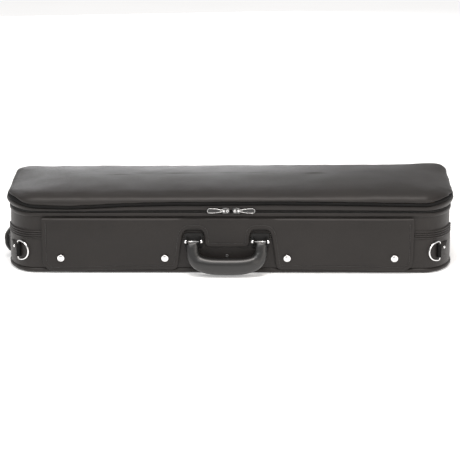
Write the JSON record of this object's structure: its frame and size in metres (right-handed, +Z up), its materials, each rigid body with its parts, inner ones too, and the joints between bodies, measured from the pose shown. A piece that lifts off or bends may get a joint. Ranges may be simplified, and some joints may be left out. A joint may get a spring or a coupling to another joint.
{
  "type": "violin case",
  "caption": "Oblong fabric-covered violin case with a hinged lid, zip, snap-down front flap, folding carry handle, strap rings and a fitted interior with bow holders.",
  "frame": {"origin": "centre of the base's flat underside, on the surface the case lies on", "axes": "+X along the case to the right seen from the front, +Y to the back (hinges), +Z up; the handle side faces -Y"},
  "size_m": [0.7851, 0.2936, 0.1465],
  "materials": {
    "cover_fabric": "black woven nylon canvas, slightly satin",
    "flap_fabric": "black woven nylon canvas, flatter weave",
    "piping_trim": "black coated piping cord",
    "zip_tape": "black woven tape with nylon coil",
    "plywood": "laminated plywood, satin",
    "plush": "dark green velour plush",
    "webbing": "black ribbed webbing",
    "grip_plastic": "black moulded grip, fine grain, satin",
    "black_plastic": "black moulded plastic",
    "chrome_hardware": "polished nickel-chrome plate"
  },
  "bodies": {
    "base": {"accessory_tray": "plush", "base_cover": "cover_fabric", "base_lining": "plush", "base_piping": "piping_trim", "base_shell": "plywood", "bed_floor_pad": "plush", "cover_screw": "chrome_hardware", "d_ring_tab_left": "webbing", "d_ring_tab_right": "webbing", "end_handle": "webbing", "front_pocket": "cover_fabric", "handle_bracket_left": "black_plastic", "handle_bracket_right": "black_plastic", "handle_pin_left": "chrome_hardware", "handle_pin_right": "chrome_hardware", "hinge_leaf_lower_left": "chrome_hardware", "hinge_leaf_lower_right": "chrome_hardware", "hinge_pin_left": "chrome_hardware", "hinge_pin_right": "chrome_hardware", "instrument_bed": "plush", "lid_stay_left": "webbing", "lid_stay_right": "webbing", "neck_cradle": "plush", "neck_strap": "webbing", "pocket_hem": "cover_fabric", "snap_stud_1": "chrome_hardware", "snap_stud_2": "chrome_hardware", "snap_stud_3": "chrome_hardware", "snap_stud_4": "chrome_hardware", "spine_strip": "cover_fabric", "tab_rivet_left": "chrome_hardware", "tab_rivet_right": "chrome_hardware", "zip_track_lower": "zip_tape"},
    "lid": {"lid_cover": "cover_fabric", "lid_shell": "plywood", "lid_lining": "plush", "lid_piping": "piping_trim", "zip_track_upper": "zip_tape", "lid_gusset": "cover_fabric", "bow_tip_pocket_1": "plush", "bow_tip_pocket_2": "plush", "hinge_leaf_upper_left": "chrome_hardware", "hinge_leaf_upper_right": "chrome_hardware"},
    "flap": {"front_flap": "flap_fabric", "snap_cap_1": "chrome_hardware", "snap_cap_2": "chrome_hardware", "snap_cap_3": "chrome_hardware", "snap_cap_4": "chrome_hardware"},
    "handle": {"handle_grip": "grip_plastic"},
    "slider_left": {"zip_slider_left": "chrome_hardware"},
    "slider_right": {"zip_slider_right": "chrome_hardware"},
    "pull_left": {"zip_pull_left": "chrome_hardware"},
    "pull_right": {"zip_pull_right": "chrome_hardware"},
    "ring_left": {"d_ring_left": "chrome_hardware"},
    "ring_right": {"d_ring_right": "chrome_hardware"},
    "bow_button_1": {"bow_spinner_1": "black_plastic"},
    "bow_button_2": {"bow_spinner_2": "black_plastic"}
  },
  "joints": [
    {"name": "lid_hinge", "type": "hinge", "parent": "base", "child": "lid", "pos_m": [0, 0.1286, 0.1085], "axis": [-1, 0, 0], "range_deg": [0, 100], "deforming": ["lid_stay_left", "lid_stay_right", "spine_strip"]},
    {"name": "flap_hinge", "type": "hinge", "parent": "base", "child": "flap", "pos_m": [0, -0.1264, 0.0978], "axis": [-1, 0, 0], "range_deg": [0, 95]},
    {"name": "handle_hinge", "type": "hinge", "parent": "base", "child": "handle", "pos_m": [-0.0042, -0.141, 0.06], "axis": [-1, 0, 0], "range_deg": [0, 100]},
    {"name": "slider_left_travel", "type": "slide", "parent": "base", "child": "slider_left", "axis": [-1, 0, 0], "range_m": [0, 0.308]},
    {"name": "slider_right_travel", "type": "slide", "parent": "base", "child": "slider_right", "axis": [1, 0, 0], "range_m": [0, 0.308]},
    {"name": "pull_left_swing", "type": "hinge", "parent": "slider_left", "child": "pull_left", "pos_m": [-0.0091, -0.129, 0.1103], "axis": [0, 0, 1], "range_deg": [0, 95]},
    {"name": "pull_right_swing", "type": "hinge", "parent": "slider_right", "child": "pull_right", "pos_m": [0.0151, -0.129, 0.1103], "axis": [0, 0, -1], "range_deg": [0, 95]},
    {"name": "ring_left_swing", "type": "hinge", "parent": "base", "child": "ring_left", "pos_m": [-0.36497, -0.11224, 0.0385], "axis": [0, 0, -1], "range_deg": [0, 120]},
    {"name": "ring_right_swing", "type": "hinge", "parent": "base", "child": "ring_right", "pos_m": [0.36157, -0.11575, 0.0385], "axis": [0, 0, 1], "range_deg": [0, 120]},
    {"name": "bow_button_1_turn", "type": "hinge", "parent": "lid", "child": "bow_button_1", "pos_m": [0.292, 0.042, 0.124], "axis": [0, 0, 1], "range_deg": [0, 90]},
    {"name": "bow_button_2_turn", "type": "hinge", "parent": "lid", "child": "bow_button_2", "pos_m": [0.292, -0.042, 0.124], "axis": [0, 0, -1], "range_deg": [0, 90]}
  ]
}
